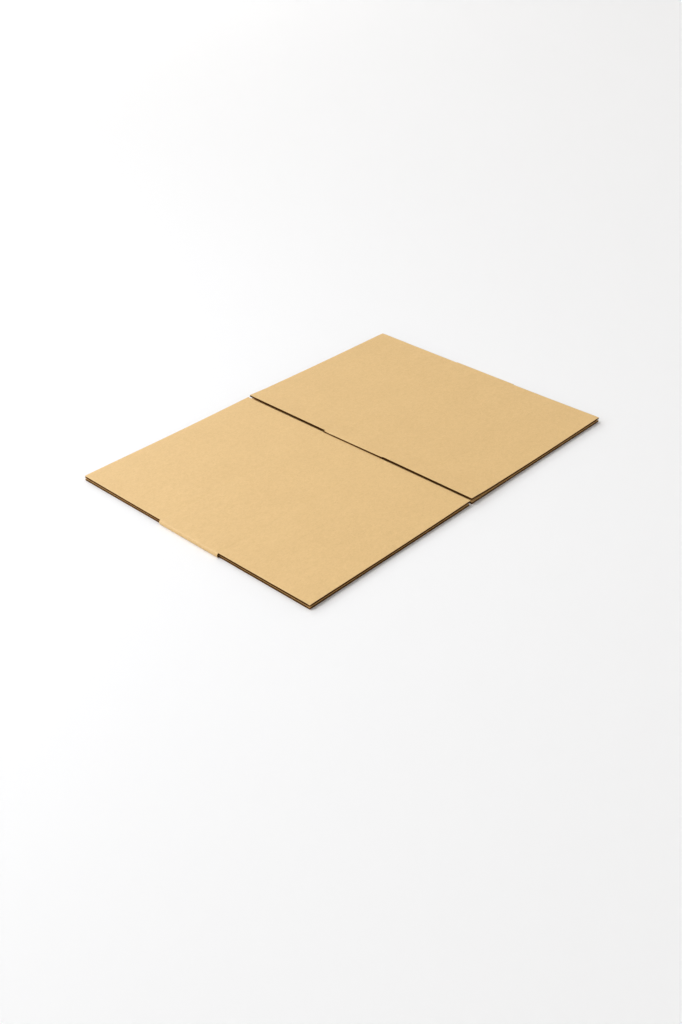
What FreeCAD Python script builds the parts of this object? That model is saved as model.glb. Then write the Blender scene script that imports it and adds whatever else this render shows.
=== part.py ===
import FreeCAD, Part
import math
import os
from FreeCAD import Vector

# A slotted carton of single-wall corrugated board, folded flat as it is delivered.
# It is one sheet: four upright panels in a row, a flap at each end of each panel, and a
# glue tab at one end of the row. Two of the four upright creases are folded right over.
# The lower ply is two panels, open flat at the crease between them. The upper ply is the
# other two: the left one carries the glue tab, and the right one laps over the tab.
# X runs across the panels from fold to fold, Y along the flutes, from the flap ends
# in front to the flap ends behind, and Z up from the face that the carton lies on.
# All sizes are in millimetres.

# The sheet
panel_width = 303.0
height_panel = 106.0
flap_depth = 151.5
board_thickness = 3.0
liner_thickness = 0.3
medium_thickness = 0.25
flute_pitch = 6.4
flute_tip = 1.5

# Cuts and creases
slot_width = 5.0
score_width = 2.0
score_depth = 0.15

# The two folds
ply_gap = 0.3
fold_wall = 2.0
fold_radius = 2.3

# The glued joint
tab_width = 35.0
tab_taper = 9.0
tab_thickness = 2.1
tab_crush = 3.0
bond_depth = 0.1
joint_lift = 1.6
left_panel_trim = 1.0
joint_gap_back = 0.4
joint_gap_front = 1.4
joint_slot_back = 3.2
joint_slot_front = 2.4

# How soon the lift at the joint dies away towards each fold, and how finely it is drawn
left_settling = 3
right_settling = 2
bend_steps = 8

# Worked out from the sizes above
half_width = panel_width
half_height_panel = height_panel / 2
half_length = half_height_panel + flap_depth
upper_floor = board_thickness + ply_gap
fold_height = upper_floor + board_thickness
split_level = board_thickness + ply_gap / 2
fold_inside = half_width - fold_wall
fold_start = half_width - fold_radius
flap_edge = half_width - slot_width / 2
left_panel_end = -left_panel_trim
tab_tip = left_panel_end + tab_width
joint_air = min(joint_gap_back, joint_gap_front) / 4
right_panel_start = left_panel_end + 2 * joint_air
reach = half_width + fold_height
clear_above = fold_height + joint_lift + tab_thickness + board_thickness


def left_rise(x):
    """Height that the left upper panel gains from its fold to the tab's crease."""
    share = (half_width + x) / (half_width + left_panel_end)
    return joint_lift * max(share, 0.0) ** left_settling


def tab_rise(x):
    """Height of the tab's underside above its rest: it slopes down from its crease."""
    return joint_lift * (tab_tip - x) / tab_width


def right_rise(x):
    """Height that the right upper panel gains from its fold to its edge on the tab."""
    if x < tab_tip:
        return tab_thickness + tab_rise(x)
    share = (half_width - x) / (half_width - tab_tip)
    return tab_thickness * max(share, 0.0) ** right_settling


def no_rise(x):
    """The lower ply lies flat."""
    return 0.0


def stations(low, high, breaks=()):
    """Places across a bent ply between which its faces are flat."""
    step = (high - low) / bend_steps
    places = [low + step * index for index in range(bend_steps + 1)]
    return sorted(places + list(breaks))


def ply_line(places, rise, height):
    """Points of one face of an upper ply."""
    return [(x, height + rise(x)) for x in places]


def section_point(x, z):
    """Point of the XZ section at the front ends of the flaps."""
    return Vector(x, -half_length, z)


def section_edges(points):
    """Straight edges through points of the section."""
    corners = [section_point(x, z) for x, z in points]
    return [Part.LineSegment(a, b).toShape() for a, b in zip(corners, corners[1:])]


def section_wire(points):
    """Closed outline in the section."""
    return Part.Wire(section_edges(points + points[:1]))


def along_flutes(outline, holes=()):
    """Solid with the section's outline, as long as the sheet."""
    face = Part.makeFace([outline] + list(holes), "Part::FaceMakerBullseye")
    return face.extrude(Vector(0, 2 * half_length, 0))


def clip(points, low, high):
    """The part of a convex outline between two values of X."""
    for bound, side in ((low, 1), (high, -1)):
        kept = []
        for (x0, z0), (x1, z1) in zip(points, points[1:] + points[:1]):
            inside = side * (x0 - bound) >= 0
            if inside:
                kept.append((x0, z0))
            if inside != (side * (x1 - bound) >= 0):
                share = (bound - x0) / (x1 - x0)
                kept.append((bound, z0 + share * (z1 - z0)))
        points = kept
    return points


def flute_channels(low, high, floor, thickness, rise):
    """Outlines of the open channels on both sides of the wavy medium of one ply."""
    bottom = floor + liner_thickness
    top = floor + thickness - liner_thickness
    web_drop = top - bottom - medium_thickness
    web_run = flute_pitch / 2 - flute_tip
    half_web = medium_thickness / 2 * math.hypot(web_run, web_drop) / web_drop
    half_base = (flute_pitch - flute_tip) / 2 - half_web
    half_tip = flute_tip / 2 - half_web
    channels = []
    for index in range(int((high - low) / (flute_pitch / 2)) + 2):
        middle = low + index * flute_pitch / 2
        base, tip = bottom, top - medium_thickness
        if index % 2:
            base, tip = top, bottom + medium_thickness
        corners = [
            (middle - half_base, base),
            (middle + half_base, base),
            (middle + half_tip, tip),
            (middle - half_tip, tip),
        ]
        corners = clip(corners, low, high)
        wide = corners and max(x for x, z in corners) - min(x for x, z in corners)
        if wide and wide > flute_tip / 2:
            channels.append([(x, z + rise(x)) for x, z in corners])
    return channels


def fold_edges(side):
    """Outer face of one folded edge, from the lower face up to the upper face."""
    turn = fold_radius * (1 - math.sqrt(0.5))
    low_start = section_point(side * fold_start, 0)
    low_middle = section_point(side * (half_width - turn), turn)
    low_end = section_point(side * half_width, fold_radius)
    high_start = section_point(side * half_width, fold_height - fold_radius)
    high_middle = section_point(side * (half_width - turn), fold_height - turn)
    high_end = section_point(side * fold_start, fold_height)
    return [
        Part.Arc(low_start, low_middle, low_end).toShape(),
        Part.LineSegment(low_end, high_start).toShape(),
        Part.Arc(high_start, high_middle, high_end).toShape(),
    ]


def board_outline():
    """Outline of both plies, joined at the folds and open at the joint."""
    left_places = stations(-fold_start, left_panel_end)
    right_places = stations(right_panel_start, fold_start, [tab_tip])
    left_under = [x for x in left_places if x > -fold_start]
    right_under = [x for x in right_places if x < fold_start]
    left_top = ply_line(left_places, left_rise, fold_height)
    right_top = ply_line(right_places, right_rise, fold_height)
    left_top[0] = (-fold_start, fold_height)
    right_top[-1] = (fold_start, fold_height)
    left_low = [(-fold_inside, upper_floor)] + ply_line(left_under, left_rise, upper_floor)
    right_low = ply_line(right_under, right_rise, upper_floor) + [(fold_inside, upper_floor)]
    inside = left_low[::-1] + [(-fold_inside, board_thickness)]
    inside += [(fold_inside, board_thickness)] + right_low[::-1]
    middle = left_top + inside + right_top
    base = [(fold_start, 0), (-fold_start, 0)]
    edges = section_edges(middle) + fold_edges(1) + section_edges(base) + fold_edges(-1)
    return Part.Wire(Part.__sortEdges__(edges))


def crosses_joint(channel):
    """True for a channel that the edge of an upper panel cuts open."""
    lowest = min(x for x, z in channel)
    highest = max(x for x, z in channel)
    return lowest < right_panel_start and highest > left_panel_end


def folded_board():
    """Both plies and both folds as one fluted length, before any slot is cut."""
    seam = left_panel_end + joint_air
    upper = flute_channels(-fold_inside, seam, upper_floor, board_thickness, left_rise)
    upper += flute_channels(seam, fold_inside, upper_floor, board_thickness, right_rise)
    lower = flute_channels(-fold_inside, fold_inside, 0, board_thickness, no_rise)
    closed = [section_wire(channel) for channel in lower + upper if not crosses_joint(channel)]
    opened = [along_flutes(section_wire(channel)) for channel in upper if crosses_joint(channel)]
    return along_flutes(board_outline(), closed).cut(opened)


def block(x_low, x_high, y_low, y_high, z_low, z_high):
    """Box between two corners."""
    corner = Vector(x_low, y_low, z_low)
    return Part.makeBox(x_high - x_low, y_high - y_low, z_high - z_low, corner)


def flap_zone_blocks(x_low, x_high, z_high):
    """The same cut in the front row of flaps and in the back row."""
    far = half_length + slot_width
    front = block(x_low, x_high, -far, -half_height_panel, -board_thickness, z_high)
    back = block(x_low, x_high, half_height_panel, far, -board_thickness, z_high)
    return [front, back]


def slot_cuts():
    """Slots between neighbouring flaps: at both folds and at the lower ply's middle."""
    left = flap_zone_blocks(-reach, -flap_edge, clear_above)
    right = flap_zone_blocks(flap_edge, reach, clear_above)
    middle = flap_zone_blocks(-slot_width / 2, slot_width / 2, split_level)
    return left + right + middle


def joint_slot(y):
    """Width of the open slot between the upper flaps at the joint."""
    share = (y + half_length) / (2 * half_length)
    return joint_slot_front + (joint_slot_back - joint_slot_front) * share


def joint_cut():
    """Trims the right panel's edge: set back at the flaps, close to the crease between."""
    far = half_length + slot_width
    inner = half_height_panel
    seam = left_panel_end + joint_air
    points = [
        (seam, far),
        (seam, -far),
        (left_panel_end + joint_slot(-far), -far),
        (left_panel_end + joint_slot(-inner), -inner),
        (left_panel_end + joint_gap_front, -inner),
        (left_panel_end + joint_gap_back, inner),
        (left_panel_end + joint_slot(inner), inner),
        (left_panel_end + joint_slot(far), far),
    ]
    corners = [Vector(x, y, split_level) for x, y in points]
    face = Part.Face(Part.makePolygon(corners + corners[:1]))
    return face.extrude(Vector(0, 0, clear_above))


def score_band(places, rise):
    """Shallow groove across an upper panel, to be placed at a row of flaps."""
    floor = ply_line(places, rise, fold_height - score_depth)
    sky = [(places[-1], clear_above), (places[0], clear_above)]
    corners = [Vector(x, -score_width / 2, z) for x, z in floor + sky]
    face = Part.Face(Part.makePolygon(corners + corners[:1]))
    return face.extrude(Vector(0, score_width, 0))


def score_cuts():
    """Pressed lines where the flaps will fold, and the crease in the lower ply's middle."""
    half_score = score_width / 2
    inner = half_height_panel
    left_places = stations(-fold_start, left_panel_end)
    right_places = stations(right_panel_start, fold_start, [tab_tip])
    cuts = [block(-half_score, half_score, -inner, inner, -1, score_depth)]
    for y in (-inner, inner):
        cuts.append(block(-fold_start, fold_start, y - half_score, y + half_score, -1, score_depth))
        for places, rise in ((left_places, left_rise), (right_places, right_rise)):
            band = score_band(places, rise)
            band.translate(Vector(0, y, 0))
            cuts.append(band)
    return cuts


def glue_tab():
    """Tab of the left panel, pressed thin and glued under the right panel."""
    crease = left_panel_end - tab_crush
    under = [
        (tab_tip, upper_floor),
        (left_panel_end, upper_floor + joint_lift),
        (crease, upper_floor + left_rise(crease)),
    ]
    over = [
        (crease, upper_floor + left_rise(crease) + tab_thickness),
        (left_panel_end, upper_floor + joint_lift + tab_thickness + bond_depth),
        (tab_tip, upper_floor + tab_thickness + bond_depth),
    ]
    channels = flute_channels(left_panel_end, tab_tip, upper_floor, tab_thickness, tab_rise)
    sheet = along_flutes(section_wire(under + over), [section_wire(c) for c in channels])
    inner = half_height_panel
    plan = [(crease, -inner), (left_panel_end, -inner), (tab_tip, tab_taper - inner)]
    plan += [(x, -y) for x, y in plan[::-1]]
    corners = [Vector(x, y, split_level) for x, y in plan]
    footprint = Part.Face(Part.makePolygon(corners + corners[:1]))
    return sheet.common(footprint.extrude(Vector(0, 0, clear_above)))


def flattened_box():
    """The whole folded and glued sheet."""
    board = folded_board().cut(slot_cuts() + [joint_cut()] + score_cuts())
    return board.fuse(glue_tab()).removeSplitter()


os.makedirs("parts", exist_ok=True)
box = flattened_box()
print("solids", len(box.Solids), "valid", box.isValid(), "volume mm3", round(box.Volume))
print("bounds", box.BoundBox)
box.Solids[0].exportStep("parts/flattened_box.step")
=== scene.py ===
import math
import bpy
import numpy as np
from mathutils import Matrix, Vector


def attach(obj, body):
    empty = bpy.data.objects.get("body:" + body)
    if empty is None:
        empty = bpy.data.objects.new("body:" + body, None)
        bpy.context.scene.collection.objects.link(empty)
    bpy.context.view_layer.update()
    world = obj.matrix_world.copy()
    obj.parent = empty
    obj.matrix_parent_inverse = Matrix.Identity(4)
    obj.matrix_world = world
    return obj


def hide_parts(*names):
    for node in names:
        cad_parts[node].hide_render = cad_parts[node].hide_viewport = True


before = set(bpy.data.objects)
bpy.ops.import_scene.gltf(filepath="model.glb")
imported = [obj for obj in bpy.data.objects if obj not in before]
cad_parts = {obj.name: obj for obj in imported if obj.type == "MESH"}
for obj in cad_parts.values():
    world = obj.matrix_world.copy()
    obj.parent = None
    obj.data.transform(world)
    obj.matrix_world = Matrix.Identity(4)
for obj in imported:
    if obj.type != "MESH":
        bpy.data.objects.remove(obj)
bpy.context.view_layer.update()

# One flat carton of corrugated board: an outer liner, an inner liner and the wavy
# medium between them, each drawn as one thin sheet that runs from the glue tab round
# both folds to the edge of the last panel. Lengths are in millimetres until a mesh is
# made. X runs from fold to fold, Y along the flutes and Z up.
metres_per_millimetre = 0.001

# The sheet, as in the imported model
panel_width = 303.0
height_panel = 106.0
flap_depth = 151.5
board_thickness = 3.0
slot_width = 5.0
ply_gap = 0.3
fold_wall = 2.0
fold_radius = 2.3
tab_width = 35.0
tab_taper = 9.0
tab_thickness = 2.1
joint_lift = 1.6
left_panel_trim = 1.0
joint_gap_back = 0.4
joint_gap_front = 1.4
joint_slot_back = 3.2
joint_slot_front = 2.4
left_settling = 3
right_settling = 2

# The three papers of the board; the skew turns the flutes a little out of line with Y
liner_thickness = 0.3
medium_thickness = 0.22
flute_pitch = 6.4
flute_skew = 0.0099
flute_start = 4.84
flute_lean = 0.22
lower_flute_shift = 0.37
tab_flute_shift = 0.2
washboard_depth = 0.04
glue_overlap = 0.01

# Lines of the sheet that follow from these
half_width = panel_width
half_height_panel = height_panel / 2
half_length = half_height_panel + flap_depth
upper_floor = board_thickness + ply_gap
fold_height = upper_floor + board_thickness
fold_start = half_width - fold_radius
flap_edge = half_width - slot_width / 2
left_panel_end = -left_panel_trim
tab_tip = left_panel_end + tab_width

# How the board gives where it is pressed: a press is a share of the thickness, its reach
# is the distance over which it fades, and the joint is pressed less at its front
edge_press = 0.10
edge_press_reach = 1.1
corner_press = 0.24
corner_press_reach = 4.0
score_press = 0.10
score_press_reach = 1.3
fold_press_reach = 3.0
joint_press = 0.30
joint_press_reach = 4.5
joint_press_front_share = 0.4

# Dip of the left panel beside the tab's crease, and the distance over which it dips
crease_drop = 0.45
crease_drop_reach = 2.4

# Unevenness of the cut edges and of the folds: its depth, and how stretched out it is
cut_roughness = 0.16
end_cut_stretch = 1.9
side_cut_stretch = 2.3
fold_wrinkle = 0.16
fold_wrinkle_stretch = 5.5

# Lift of the four loose corners of the upper flaps, and the share of the half width at
# which it starts
corner_curl = {"front_left": 0.7, "front_right": 1.3, "back_left": 0.8, "back_right": 0.5}
curl_start = 0.35

# Places of the mesh's rows: distances in from the flaps' ends and from the flaps'
# creases, positive towards the middle
fine_ends = [0.0, 0.5, 1.2, 2.5, 6.0]
fine_scores = [-3.0, -1.6, -0.8, 0.0, 0.8, 1.6, 3.0]
plain_ends = [0.0, 1.2, 6.0]
plain_scores = [-3.0, -1.2, 0.0, 1.2, 3.0]
end_zone = 12.0
score_zone = 6.0

# Places of the mesh's columns: step round a fold as a share of it, the tab's distance
# from its crease, and the last panel's distance from its slanted edge
fold_share_step = 0.08
tab_start = 0.5
joint_margin = 1.5

# Edges turned by more degrees than this are drawn sharp
sharp_angle = 38.0

# The paper's relief in metres, its smoothest and roughest spots, the noise values from
# which its flecks begin and are full, and how much lighter its pale flecks are
bump_distance = 0.00014
smoothest = 0.52
roughest = 0.66
fleck_begins = 0.67
fleck_full = 0.73
pale_gain = 1.16

# Colours of the lights
warm_white = (1.0, 0.99, 0.97)
cool_white = (0.97, 1.0, 1.05)
plain_white = (1.0, 1.0, 1.0)

# A distance that no press reaches, and how near counts as on a line
out_of_reach = 999.0
on_line = 0.01

# The sides of one paper, which take their own materials
NEAR_SIDE, FAR_SIDE, CUT_RIM = range(3)

# The parts of the sheet, in order from the tab
TAB, LEFT_PANEL, LEFT_FOLD, LOWER_PLY, RIGHT_FOLD, RIGHT_PANEL = range(6)


def smooth_step(value):
    """Rises from 0 to 1 with level ends."""
    t = np.clip(value, 0.0, 1.0)
    return t * t * (3 - 2 * t)


def ripple(position, stretch, seed):
    """Smooth irregular line between -1 and 1, the same on every run."""
    phase = position / stretch
    total = 0.0
    for size, pace, turn in ((1.0, 2.0, 1.7), (0.6, 4.7, 3.1), (0.4, 9.1, 5.3)):
        total = total + size * np.sin(phase * pace + seed * turn)
    return total / 2.0


def left_rise(x):
    """Height that the left upper panel gains towards the tab's crease."""
    share = (half_width + x) / (half_width + left_panel_end)
    return joint_lift * np.clip(share, 0.0, None) ** left_settling


def tab_rise(x):
    """Height of the tab's underside above its rest."""
    return joint_lift * (tab_tip - x) / tab_width


def right_rise(x):
    """Height that the right upper panel gains towards its edge on the tab."""
    share = np.clip((half_width - x) / (half_width - tab_tip), 0.0, None)
    return np.where(x < tab_tip, tab_thickness + tab_rise(x), tab_thickness * share ** right_settling)


def flap_share(y):
    """From 0 at the crease to 1 at the end of a flap."""
    return np.clip((np.abs(y) - half_height_panel) / flap_depth, 0.0, 1.0)


def curl(x, y):
    """Slight lift of the four loose corners of the upper flaps."""
    outward = smooth_step((np.abs(x) / half_width - curl_start) / (1 - curl_start))
    total = np.zeros(np.broadcast(x, y).shape)
    for name, lift in corner_curl.items():
        row, side = name.split("_")
        there = (y < 0) if row == "front" else (y > 0)
        there = there & ((x < 0) if side == "left" else (x > 0))
        total = total + np.where(there, lift, 0.0) * outward * flap_share(y) ** 2
    return total


def joint_slot(y):
    """Width of the open slot between the upper flaps at the joint."""
    share = (y + half_length) / (2 * half_length)
    return joint_slot_front + (joint_slot_back - joint_slot_front) * share


def joint_gap(y):
    """Width of the gap between the upper panels at the tab."""
    share = (y + half_height_panel) / height_panel
    return joint_gap_front + (joint_gap_back - joint_gap_front) * np.clip(share, 0.0, 1.0)


def fold_profile(share):
    """Outer face of a folded edge: outward distance, height and inward direction."""
    arc = fold_radius * math.pi / 2
    straight = fold_height - 2 * fold_radius
    run = share * (2 * arc + straight)
    angle = np.clip(run / fold_radius, 0, math.pi / 2)
    angle = angle + np.clip((run - arc - straight) / fold_radius, 0, math.pi / 2)
    outward = fold_start + fold_radius * np.sin(angle)
    drop = np.clip(run - arc, 0, straight)
    height = fold_height - fold_radius * (1 - np.cos(angle)) - drop
    return outward, height, -np.sin(angle), -np.cos(angle)


def outer_face(part, place, y):
    """Points of the sheet's outer face and the direction into the board."""
    x = np.where(np.isnan(place), 0.0, place) + 0.0 * y
    z = np.zeros_like(x)
    into_x = np.zeros_like(x)
    into_z = np.ones_like(x)
    body = np.abs(y) <= half_height_panel
    upper = [
        (TAB, upper_floor + tab_rise(x) + tab_thickness),
        (LEFT_PANEL, fold_height + left_rise(x) + curl(x, y)),
        (RIGHT_PANEL, fold_height + right_rise(x) + curl(x, y)),
    ]
    for kind, height in upper:
        z = np.where(part == kind, height, z)
        into_z = np.where(part == kind, -1.0, into_z)
    near_crease = smooth_step((x - left_panel_end + crease_drop_reach) / crease_drop_reach)
    z = z - np.where((part == LEFT_PANEL) & body, crease_drop * near_crease, 0.0)
    for kind, side in ((LEFT_FOLD, -1), (RIGHT_FOLD, 1)):
        share = x if kind == LEFT_FOLD else 1 - x
        outward, height, toward_x, toward_z = fold_profile(share)
        waves = 0.5 + 0.5 * ripple(y, fold_wrinkle_stretch, 3.0 + kind)
        wrinkle = fold_wrinkle * waves * np.sin(math.pi * share) ** 2
        here = part == kind
        x = np.where(here, side * (outward - wrinkle), x)
        z = np.where(here, height, z)
        into_x = np.where(here, side * toward_x, into_x)
        into_z = np.where(here, toward_z, into_z)
    return x, z, into_x, into_z


def fading(distance, reach):
    """From 1 on a line to 0 well beyond its reach."""
    return np.exp(-(distance / reach) ** 2)


def cut_distance(part, x, y):
    """Distance to the nearest cut edge of a flap."""
    to_end = half_length - np.abs(y)
    lower_slot = np.abs(np.abs(x) - slot_width / 2)
    to_side = np.abs(flap_edge - np.abs(x))
    to_side = np.minimum(to_side, np.where(part == LOWER_PLY, lower_slot, out_of_reach))
    right_edge = left_panel_end + joint_slot(y)
    to_joint = np.abs(x - np.where(part == RIGHT_PANEL, right_edge, left_panel_end))
    to_side = np.where(part == LOWER_PLY, to_side, np.minimum(to_side, to_joint))
    return np.minimum(to_side, to_end)


def glued_share(part, x, y):
    """Share lost where the right panel is pressed onto the tab, most at its back."""
    from_ends = smooth_step((half_height_panel - np.abs(y)) / joint_press_reach)
    to_back = np.clip((y + half_height_panel) / height_panel, 0.0, 1.0)
    strength = joint_press_front_share + (1 - joint_press_front_share) * to_back
    from_gap = x - left_panel_end - joint_gap(y)
    glued = joint_press * strength * from_ends * fading(from_gap, joint_press_reach)
    body = np.abs(y) <= half_height_panel + on_line
    return np.where((part == RIGHT_PANEL) & body, glued, 0.0)


def pressed_share(part, x, y):
    """Share of the thickness lost at cuts, creases, folds and joint, and its outer part."""
    flaps = np.abs(y) > half_height_panel + on_line
    body = ~flaps
    to_cut = np.where(flaps, cut_distance(part, x, y), out_of_reach)
    to_corner = np.hypot(flap_edge - np.abs(x), half_length - np.abs(y))
    cut = edge_press * fading(to_cut, edge_press_reach)
    cut = cut + corner_press * fading(to_corner, corner_press_reach)
    score = score_press * fading(np.abs(y) - half_height_panel, score_press_reach)
    centre = score_press * fading(x, score_press_reach)
    score = score + np.where((part == LOWER_PLY) & body, centre, 0.0)
    near_fold = smooth_step((np.abs(x) - fold_start + fold_press_reach) / fold_press_reach)
    folding = (part == LEFT_FOLD) | (part == RIGHT_FOLD)
    fold = np.where(folding, 1.0, near_fold) * (1 - fold_wall / board_thickness)
    fold = np.where(body & (part != TAB), fold, 0.0)
    glued = glued_share(part, x, y)
    lost = np.maximum(np.maximum(cut, score), fold)
    outer = np.where(fold >= np.maximum(cut, score), 0.0, 0.5 * lost)
    return np.maximum(lost, glued), np.where(glued > lost, glued, outer)


def board_point(part, place, y, depth):
    """Point of the board at a depth below its outer face, in metres."""
    x, z, into_x, into_z = outer_face(part, place, y)
    lost, outer = pressed_share(part, x, y)
    scale = np.where(part == TAB, tab_thickness / board_thickness, 1.0)
    sunk = scale * (board_thickness * outer + depth * (1 - lost))
    narrowing = 1 - (tab_taper / half_height_panel) * np.clip((x - left_panel_end) / tab_width, 0, 1)
    y_there = np.where(part == TAB, y * narrowing, y + 0.0 * x)
    return np.stack([x + into_x * sunk, y_there, z + into_z * sunk], axis=-1)


def flute_phase(part, x, y):
    """Angle of the medium's wave, which leans and runs a little askew as in real board."""
    shift = np.where(part == LOWER_PLY, lower_flute_shift, 0.0)
    shift = shift + np.where(part == TAB, tab_flute_shift, 0.0)
    turns = 2 * math.pi * ((x + flute_start - flute_skew * y) / flute_pitch + shift)
    return turns + flute_lean * np.sin(turns)


def run_of(low, high, step):
    """Places between two ends, both included, about one step apart."""
    count = max(1, round(abs(high - low) / step))
    return list(np.linspace(low, high, count + 1))


def sheet_columns(step):
    """Places along the sheet from the tab to the last panel, and the part each is on."""
    tab = run_of(tab_tip, left_panel_end + tab_start, step)
    left = run_of(left_panel_end, -flap_edge, step)
    fold = run_of(0.0, 1.0, fold_share_step)
    lower = run_of(-flap_edge, -slot_width / 2, step) + [0.0] + run_of(slot_width / 2, flap_edge, step)
    right = run_of(flap_edge, left_panel_end + joint_slot_back + joint_margin, step)
    columns = [(TAB, x) for x in tab] + [(LEFT_PANEL, x) for x in left]
    columns += [(LEFT_FOLD, share) for share in fold] + [(LOWER_PLY, x) for x in lower]
    columns += [(RIGHT_FOLD, share) for share in fold] + [(RIGHT_PANEL, x) for x in right]
    columns += [(RIGHT_PANEL, math.nan), (RIGHT_PANEL, math.inf)]
    parts = np.array([part for part, place in columns])[:, None]
    places = np.array([place for part, place in columns])[:, None]
    return parts, places


def sheet_rows(body_step, flap_step, ends, scores):
    """Places along the flutes, closer together at the flap ends and at the creases."""
    flap = run_of(half_length - end_zone, half_height_panel + score_zone, flap_step)
    inside = run_of(half_height_panel - score_zone, 0.0, body_step)
    half = [half_length - end for end in ends] + flap
    half += [half_height_panel - score for score in scores] + inside
    half = sorted(set(round(y, 4) for y in half))
    rows = [-y for y in half[::-1] if y > 0] + half
    return np.array(rows)[None, :]


def present_cells(parts, places, rows):
    """Cells of the grid that are board: the slots are left out between the flaps."""
    first = parts[:-1]
    second = parts[1:]
    turning = (first == LEFT_FOLD) | (second == LEFT_FOLD)
    turning = turning | (first == RIGHT_FOLD) | (second == RIGHT_FOLD)
    tab = first == TAB
    middle = (first == LOWER_PLY) & (second == LOWER_PLY)
    middle = middle & (np.abs(places[:-1] + places[1:]) < slot_width)
    last = np.isposinf(places[1:])
    body_only = turning | tab | middle | last
    in_body = np.abs(rows[:, :-1] + rows[:, 1:]) / 2 < half_height_panel
    return ~body_only | in_body


def joint_places(places, rows):
    """Replaces the two marks at the end of the sheet with the last panel's cut edge."""
    flap_line = left_panel_end + joint_slot(rows)
    body_line = left_panel_end + joint_gap(rows)
    grid = np.where(np.isnan(places), flap_line, places + 0.0 * rows)
    return np.where(np.isposinf(places), body_line, grid)


def roughen_cuts(points, parts, grid, rows, seed):
    """Draws the cut edges in by small uneven steps, as a blade leaves board."""
    x = points[..., 0]
    y = points[..., 1]
    on_end = np.abs(np.abs(rows) - half_length) < on_line
    end_waves = 0.5 + 0.5 * ripple(x, end_cut_stretch, seed)
    flat = (parts == LEFT_PANEL) | (parts == RIGHT_PANEL) | (parts == LOWER_PLY)
    on_side = (np.abs(np.abs(grid) - flap_edge) < on_line) & (np.abs(rows) > half_height_panel)
    side_waves = 0.5 + 0.5 * ripple(y, side_cut_stretch, seed + 1.0)
    points[..., 1] = y - np.sign(rows) * cut_roughness * end_waves * on_end
    points[..., 0] = x - np.sign(x) * cut_roughness * side_waves * (on_side & flat)
    return points


def slab(name, front, back, cells):
    """Closed thin sheet between two grids of points, where cells are present."""
    columns, rows = front.shape[:2]
    number = np.arange(columns * rows).reshape(columns, rows)
    corner = [number[:-1, :-1], number[:-1, 1:], number[1:, 1:], number[1:, :-1]]
    corner = [c[cells] for c in corner]
    behind = columns * rows
    faces = [np.stack(corner, axis=1), np.stack([c + behind for c in corner[::-1]], axis=1)]
    count = len(faces[0])
    padded = np.pad(cells, 1)
    neighbours = [padded[:-2, 1:-1], padded[1:-1, 2:], padded[2:, 1:-1], padded[1:-1, :-2]]
    for side, neighbour in enumerate(neighbours):
        open_side = ~neighbour[cells]
        a = corner[side][open_side]
        b = corner[(side + 1) % 4][open_side]
        faces.append(np.stack([b, a, a + behind, b + behind], axis=1))
    faces = np.concatenate(faces)
    points = np.concatenate([front.reshape(-1, 3), back.reshape(-1, 3)])
    used, faces = np.unique(faces, return_inverse=True)
    faces = faces.reshape(-1, 4)
    points = points[used] * metres_per_millimetre
    mesh = bpy.data.meshes.new(name)
    mesh.vertices.add(len(points))
    mesh.vertices.foreach_set("co", points.ravel())
    mesh.loops.add(faces.size)
    mesh.loops.foreach_set("vertex_index", faces.ravel().astype(np.int32))
    mesh.polygons.add(len(faces))
    mesh.polygons.foreach_set("loop_start", np.arange(0, faces.size, 4, dtype=np.int32))
    mesh.polygons.foreach_set("use_smooth", np.ones(len(faces), dtype=bool))
    kind = np.full(len(faces), CUT_RIM, dtype=np.int32)
    kind[:count] = NEAR_SIDE
    kind[count:2 * count] = FAR_SIDE
    mesh.polygons.foreach_set("material_index", kind)
    mesh.update(calc_edges=True)
    mesh.validate()
    mesh.set_sharp_from_angle(angle=math.radians(sharp_angle))
    piece = bpy.data.objects.new(name, mesh)
    bpy.context.scene.collection.objects.link(piece)
    return piece


def sheet_layer(name, near_depth, far_depth, ends, scores, step, body_step, flap_step, seed):
    """One paper of the board between two depths. Its mesh has one step along the sheet
    and two along the flutes, for the body and for the flaps."""
    parts, places = sheet_columns(step)
    rows = sheet_rows(body_step, flap_step, ends, scores)
    cells = present_cells(parts, places, rows)
    grid = joint_places(places, rows)
    x = outer_face(parts, grid, rows)[0]
    phase = flute_phase(parts, x, rows)
    surfaces = []
    for depth in (near_depth(phase), far_depth(phase)):
        points = board_point(parts, grid, rows, depth)
        surfaces.append(roughen_cuts(points, parts, grid, rows, seed))
    return slab(name, surfaces[0], surfaces[1], cells)


def tip_share(phase):
    """1 where the medium touches the outer liner and 0 where it touches the inner one."""
    return 0.5 + 0.5 * np.cos(phase)


def outer_liner_near(phase):
    """Depth of the outer liner's outer side, sunk between the flute tips."""
    return washboard_depth * (1 - tip_share(phase))


def outer_liner_far(phase):
    """Depth of the outer liner's side that is glued to the medium."""
    return liner_thickness + washboard_depth * (1 - tip_share(phase))


def inner_liner_near(phase):
    """Depth of the inner liner's side that is glued to the medium."""
    return board_thickness - liner_thickness - washboard_depth * tip_share(phase)


def inner_liner_far(phase):
    """Depth of the inner liner's side that faces the inside of the carton."""
    return board_thickness - washboard_depth * tip_share(phase)


def medium_middle(phase):
    """Depth of the middle of the medium, from liner to liner."""
    high = liner_thickness + medium_thickness / 2 - glue_overlap
    low = board_thickness - high
    return low + (high - low) * tip_share(phase)


def medium_half(phase):
    """Half of the medium's thickness, measured straight down through its slope."""
    swing = (board_thickness - 2 * liner_thickness - medium_thickness) / 2
    slope = swing * 2 * math.pi / flute_pitch * np.sin(phase)
    return medium_thickness / 2 * np.sqrt(1 + slope ** 2)


def medium_near(phase):
    """Depth of the side of the medium towards the outer liner."""
    return medium_middle(phase) - medium_half(phase)


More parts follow.
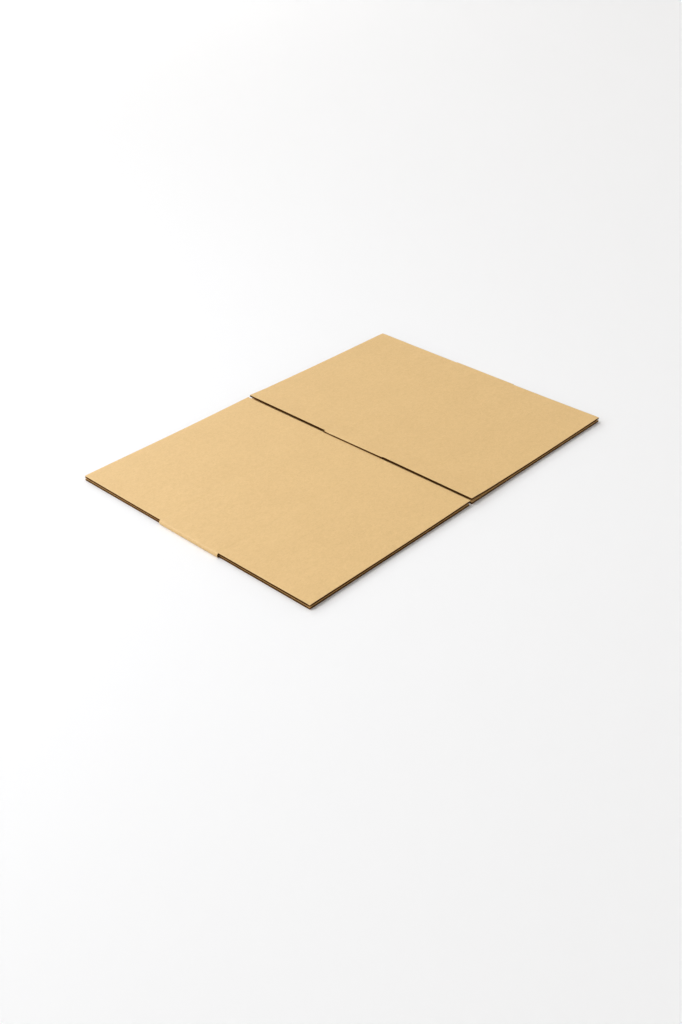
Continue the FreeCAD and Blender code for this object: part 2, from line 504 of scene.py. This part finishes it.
def medium_far(phase):
    """Depth of the side of the medium towards the inner liner."""
    return medium_middle(phase) + medium_half(phase)


def node(tree, kind, **settings):
    """New shader node with its plain settings and its input values."""
    made = tree.nodes.new(kind)
    for name, value in settings.items():
        if name.startswith("in_"):
            made.inputs[name[3:].replace("_", " ")].default_value = value
        else:
            setattr(made, name, value)
    return made


def scaled_place(tree, scale):
    """Object coordinates, stretched so that noise follows the paper's grain."""
    place = node(tree, "ShaderNodeTexCoord")
    mapping = node(tree, "ShaderNodeMapping")
    mapping.inputs["Scale"].default_value = scale
    tree.links.new(place.outputs["Object"], mapping.inputs["Vector"])
    return mapping.outputs["Vector"]


def noise(tree, scale, detail, roughness, stretch=(1, 1, 1)):
    """Noise between 0 and 1, in object coordinates; a small stretch draws it out."""
    made = node(tree, "ShaderNodeTexNoise", in_Scale=scale, in_Detail=detail, in_Roughness=roughness)
    tree.links.new(scaled_place(tree, stretch), made.inputs["Vector"])
    return made.outputs["Fac"]


def remap(tree, value, low, high, to_low, to_high):
    """Maps one range of a value to another and holds it there."""
    made = node(tree, "ShaderNodeMapRange")
    for name, number in (("From Min", low), ("From Max", high), ("To Min", to_low), ("To Max", to_high)):
        made.inputs[name].default_value = number
    tree.links.new(value, made.inputs["Value"])
    return made.outputs["Result"]


def add(tree, first, second):
    """Sum of two values."""
    made = node(tree, "ShaderNodeMath", operation="ADD")
    tree.links.new(first, made.inputs[0])
    tree.links.new(second, made.inputs[1])
    return made.outputs["Value"]


def blend(tree, factor, first, second):
    """Mix of two colours by a value."""
    made = node(tree, "ShaderNodeMix", data_type="RGBA")
    tree.links.new(factor, made.inputs[0])
    for socket, colour in ((made.inputs[6], first), (made.inputs[7], second)):
        if isinstance(colour, tuple):
            socket.default_value = colour + (1.0,)
        else:
            tree.links.new(colour, socket)
    return made.outputs[2]


def tone_part(tree, value, spread, share):
    """Part of a paper's tone: a noise value, taken within a spread about its middle."""
    return remap(tree, value, 0.5 - spread, 0.5 + spread, 0.0, share)


def flecks(tree, scale, stretch, strength):
    """Sparse short flecks, where a fine noise has its peaks."""
    value = noise(tree, scale, detail=3.0, roughness=0.5, stretch=stretch)
    return remap(tree, value, fleck_begins, fleck_full, 0.0, strength)


def paper_material(name, light, dark, fleck, bump_strength, gloss):
    """Unbleached kraft paper: cloudy tone, two crossed sets of fibres, dark and pale flecks."""
    material = bpy.data.materials.new(name)
    material.use_nodes = True
    tree = material.node_tree
    shader = tree.nodes["Principled BSDF"]
    cloud = noise(tree, scale=14.0, detail=4.0, roughness=0.55, stretch=(1.0, 1.6, 1.0))
    patch = noise(tree, scale=140.0, detail=3.0, roughness=0.5, stretch=(0.8, 1.0, 1.0))
    mottle = noise(tree, scale=420.0, detail=5.0, roughness=0.62, stretch=(0.7, 1.0, 1.0))
    fibre = noise(tree, scale=1500.0, detail=6.0, roughness=0.7, stretch=(0.2, 1.0, 1.0))
    cross_fibre = noise(tree, scale=1700.0, detail=4.0, roughness=0.65, stretch=(1.0, 0.25, 1.0))
    tone = tone_part(tree, cloud, spread=0.20, share=0.16)
    tone = add(tree, tone, tone_part(tree, patch, spread=0.18, share=0.20))
    tone = add(tree, tone, tone_part(tree, mottle, spread=0.15, share=0.28))
    tone = add(tree, tone, tone_part(tree, fibre, spread=0.12, share=0.24))
    tone = add(tree, tone, tone_part(tree, cross_fibre, spread=0.12, share=0.14))
    base = blend(tree, tone, light, dark)
    dark_flecks = flecks(tree, scale=1900.0, stretch=(0.22, 1.0, 1.0), strength=0.55)
    base = blend(tree, dark_flecks, base, fleck)
    pale = tuple(min(1.0, channel * pale_gain) for channel in light)
    pale_flecks = flecks(tree, scale=2000.0, stretch=(1.0, 0.22, 1.0), strength=0.4)
    base = blend(tree, pale_flecks, base, pale)
    tree.links.new(base, shader.inputs["Base Color"])
    tree.links.new(remap(tree, mottle, 0.3, 0.7, smoothest, roughest), shader.inputs["Roughness"])
    shader.inputs["Specular IOR Level"].default_value = gloss
    bump = node(tree, "ShaderNodeBump")
    bump.inputs["Strength"].default_value = bump_strength
    bump.inputs["Distance"].default_value = bump_distance
    tree.links.new(add(tree, fibre, cross_fibre), bump.inputs["Height"])
    tree.links.new(bump.outputs["Normal"], shader.inputs["Normal"])
    return material


def floor_material():
    """Plain pale studio floor."""
    material = bpy.data.materials.new("pale_floor")
    material.use_nodes = True
    tree = material.node_tree
    shader = tree.nodes["Principled BSDF"]
    cloud = noise(tree, scale=0.8, detail=2.0, roughness=0.5)
    tone = blend(tree, cloud, (0.935, 0.935, 0.94), (0.95, 0.95, 0.955))
    tree.links.new(tone, shader.inputs["Base Color"])
    shader.inputs["Roughness"].default_value = 0.7
    shader.inputs["Specular IOR Level"].default_value = 0.2
    return material


def make_floor():
    """Level round floor that curves up into a low wall all round, in metres."""
    floor_radius = 3.6
    sweep_radius = 2.4
    wall_height = 4.2
    drop = -0.0001
    around = 96
    profile = []
    for degrees in range(0, 91, 6):
        angle = math.radians(degrees)
        radius = floor_radius + sweep_radius * math.sin(angle)
        profile.append((radius, sweep_radius * (1 - math.cos(angle))))
    profile.append((floor_radius + sweep_radius, wall_height))
    points = [(0.0, 0.0, drop)]
    for radius, height in profile:
        for k in range(around):
            angle = 2 * math.pi * k / around
            points.append((radius * math.cos(angle), radius * math.sin(angle), height + drop))
    faces = [(0, 1 + k, 1 + (k + 1) % around) for k in range(around)]
    for ring in range(len(profile) - 1):
        low = 1 + ring * around
        for k in range(around):
            after = (k + 1) % around
            faces.append((low + k, low + around + k, low + around + after, low + after))
    mesh = bpy.data.meshes.new("studio_floor")
    mesh.from_pydata(points, [], faces)
    mesh.polygons.foreach_set("use_smooth", np.ones(len(faces), dtype=bool))
    mesh.materials.append(floor_material())
    floor = bpy.data.objects.new("studio_floor", mesh)
    bpy.context.scene.collection.objects.link(floor)


def aim_light(data, place, target=(0, 0, 0)):
    """Puts a light at a place, facing the carton or another target."""
    light = bpy.data.objects.new(data.name, data)
    light.location = place
    light.rotation_euler = (Vector(target) - Vector(place)).to_track_quat("-Z", "Y").to_euler()
    bpy.context.scene.collection.objects.link(light)


def make_softbox(name, place, target, size, power, colour):
    """Square soft light."""
    data = bpy.data.lights.new(name, "AREA")
    data.shape = "SQUARE"
    data.size = size
    data.energy = power
    data.color = colour
    aim_light(data, place, target)


def make_far_light(name, place, spread, strength, colour):
    """Distant light that covers the whole floor evenly, as wide as its spread."""
    data = bpy.data.lights.new(name, "SUN")
    data.angle = math.radians(spread)
    data.energy = strength
    data.color = colour
    aim_light(data, place)


def make_world(strength):
    """Even white surroundings."""
    world = bpy.data.worlds.new("studio")
    world.use_nodes = True
    background = world.node_tree.nodes["Background"]
    background.inputs["Color"].default_value = (1.0, 0.99, 0.98, 1.0)
    background.inputs["Strength"].default_value = strength
    bpy.context.scene.world = world


def make_camera():
    """Camera at the photograph's angle, above the front left corner. The three centre
    values are how far the carton's middle lies right of, above and ahead of the camera."""
    image_height = 1024
    focal_pixels = 1263.3
    azimuth = math.radians(42.036)
    drop = math.radians(33.317)
    roll = math.radians(0.603)
    centre_right = 0.0158
    centre_up = 0.0856
    centre_ahead = 1.74
    level = math.cos(drop)
    ahead = Vector((math.cos(azimuth) * level, math.sin(azimuth) * level, -math.sin(drop)))
    level_right = ahead.cross(Vector((0, 0, 1))).normalized()
    level_up = level_right.cross(ahead)
    right = level_right * math.cos(roll) + level_up * math.sin(roll)
    up = level_up * math.cos(roll) - level_right * math.sin(roll)
    place = -(right * centre_right + up * centre_up + ahead * centre_ahead)
    data = bpy.data.cameras.new("photo_camera")
    data.sensor_width = 36.0
    data.lens = focal_pixels * data.sensor_width / image_height
    data.clip_start = 0.01
    data.clip_end = 100.0
    camera = bpy.data.objects.new("photo_camera", data)
    turn = Matrix((right, up, -ahead)).transposed().to_4x4()
    camera.matrix_world = Matrix.Translation(place) @ turn
    bpy.context.scene.collection.objects.link(camera)
    bpy.context.scene.camera = camera


# The carton's outside and inside, then the liners' sides on the medium, the cut edges and the medium
# itself;
# these last three are darkened far below the paper's own tone with painted shade, the medium also being
# a somewhat darker paper of its own
kraft = paper_material(
    "kraft_paper",
    light=(0.84, 0.567, 0.243),
    dark=(0.69, 0.447, 0.178),
    fleck=(0.34, 0.18, 0.065),
    bump_strength=0.35,
    gloss=0.8,
)
inner_kraft = paper_material(
    "inside_paper",
    light=(0.75, 0.50, 0.215),
    dark=(0.62, 0.397, 0.158),
    fleck=(0.32, 0.19, 0.07),
    bump_strength=0.35,
    gloss=0.6,
)
# Painted shade: the liners' sides inside the flute channels get a near-black brown that stands in for
# the shade deep in the channels
painted_channel_shade = paper_material(
    "channel_painted_shade",
    light=(0.17, 0.070, 0.015),
    dark=(0.12, 0.046, 0.009),
    fleck=(0.09, 0.034, 0.007),
    bump_strength=0.35,
    gloss=0.1,
)
# Painted shade: the cut edges get a dark brown that stands in for the shade on them and in the open
# flutes; cut paper is not this dark itself
painted_cut_edge_shade = paper_material(
    "cut_edge_painted_shade",
    light=(0.26, 0.118, 0.028),
    dark=(0.185, 0.08, 0.018),
    fleck=(0.13, 0.05, 0.01),
    bump_strength=0.35,
    gloss=0.1,
)
# The medium's own paper is a little darker than the liners; most of this near-black brown is painted
# shade for the channels between the liners
fluting_paper_and_shade = paper_material(
    "fluting_paper_and_painted_shade",
    light=(0.155, 0.062, 0.012),
    dark=(0.11, 0.042, 0.007),
    fleck=(0.08, 0.03, 0.005),
    bump_strength=0.4,
    gloss=0.1,
)

outer_liner = sheet_layer(
    "outer_liner",
    outer_liner_near,
    outer_liner_far,
    fine_ends,
    fine_scores,
    step=1.6,
    body_step=6.0,
    flap_step=16.0,
    seed=1.0,
)
inner_liner = sheet_layer(
    "inner_liner",
    inner_liner_near,
    inner_liner_far,
    fine_ends,
    fine_scores,
    step=3.2,
    body_step=9.0,
    flap_step=24.0,
    seed=2.0,
)
fluted_medium = sheet_layer(
    "fluted_medium",
    medium_near,
    medium_far,
    plain_ends,
    plain_scores,
    step=0.64,
    body_step=45.0,
    flap_step=140.0,
    seed=3.0,
)

# Papers of each layer's near side, far side and cut rim; the channel, cut and fluting papers carry
# painted shade
layer_papers = [
    (outer_liner, (kraft, painted_channel_shade, painted_cut_edge_shade)),
    (inner_liner, (painted_channel_shade, inner_kraft, painted_cut_edge_shade)),
    (fluted_medium, (fluting_paper_and_shade, fluting_paper_and_shade, fluting_paper_and_shade)),
]
for layer, papers in layer_papers:
    for paper in papers:
        layer.data.materials.append(paper)
for layer in (outer_liner, inner_liner, fluted_medium):
    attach(layer, "root")
    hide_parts("flattened_box")

make_floor()
make_world(strength=0.13)
make_far_light(
    "key_light", place=(-0.45, 0.94, 1.78), spread=22.0, strength=1.05, colour=warm_white
)
make_far_light(
    "overhead_light", place=(0.0, 0.0, 1.0), spread=100.0, strength=0.59, colour=warm_white
)
make_softbox(
    "side_softbox",
    place=(-1.15, 0.95, 1.0),
    target=(0.0, 0.0, 0.0),
    size=1.2,
    power=10.5,
    colour=cool_white,
)
make_softbox(
    "sheen_softbox",
    place=(1.2, 4.3, 2.6),
    target=(-0.2, 0.1, 0.0),
    size=2.4,
    power=67.0,
    colour=plain_white,
)
make_camera()
bpy.context.scene.view_settings.view_transform = "Standard"
